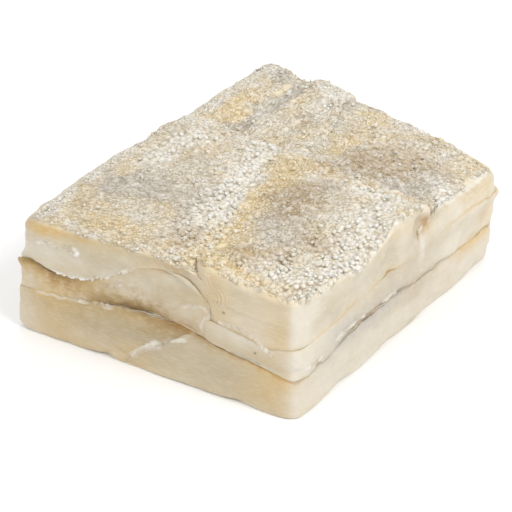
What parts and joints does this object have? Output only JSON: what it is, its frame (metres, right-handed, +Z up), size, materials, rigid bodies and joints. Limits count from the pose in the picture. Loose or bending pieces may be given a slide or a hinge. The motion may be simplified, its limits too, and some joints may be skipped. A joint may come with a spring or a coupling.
{
  "type": "salted dried cod",
  "caption": "Block of salted dried cod: thick fillet pieces pressed together in layers, with bare cut sides and a salt-crusted top.",
  "frame": {"origin": "middle of the block's bounding box in plan, at the level the block rests on", "axes": "+X to the right along the front side, +Y from the front side to the back, +Z up"},
  "size_m": [0.1658, 0.2214, 0.0667],
  "materials": {
    "bottom_left": "satin bare dried flesh",
    "bottom_right": "satin bare dried flesh",
    "middle_left": "satin bare dried flesh",
    "middle_right": "satin bare dried flesh",
    "top_front_left": "matte, crusted with coarse salt",
    "top_front_right": "matte, crusted with coarse salt",
    "top_back_left": "matte, crusted with coarse salt",
    "top_back_right": "matte, crusted with coarse salt"
  },
  "bodies": {
    "root": {"bottom_left": "bottom_left", "bottom_right": "bottom_right", "middle_left": "middle_left", "middle_right": "middle_right", "top_front_left": "top_front_left", "top_front_right": "top_front_right", "top_back_left": "top_back_left", "top_back_right": "top_back_right"}
  },
  "joints": []
}
